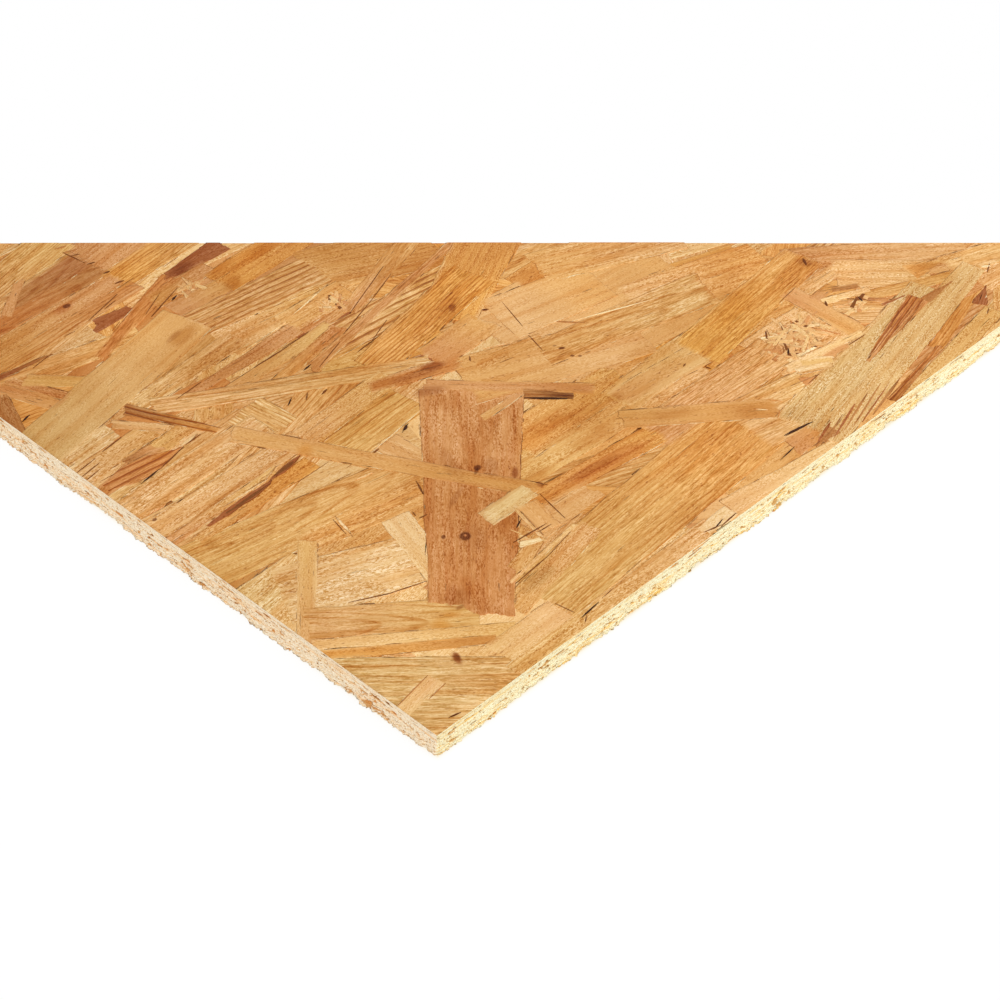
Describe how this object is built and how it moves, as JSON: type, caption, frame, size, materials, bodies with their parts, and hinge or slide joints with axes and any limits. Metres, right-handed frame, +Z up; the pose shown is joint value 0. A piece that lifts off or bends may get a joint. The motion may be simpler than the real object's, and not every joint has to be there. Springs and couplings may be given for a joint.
{
  "type": "oriented strand board panel",
  "caption": "Flat rectangular sheet of pressed wood strands with square sawn edges, for sheathing walls, roofs and floors.",
  "frame": {"origin": "middle of the underside, where the sheet rests", "axes": "+X along the length and the face strands, +Y across the width, +Z up through the thickness"},
  "size_m": [2.44, 1.22, 0.011],
  "materials": {
    "strand_board": "pressed wood strands with a faint resin sheen, matt sawn edges"
  },
  "bodies": {
    "root": {"osb_panel": "strand_board"}
  },
  "joints": []
}
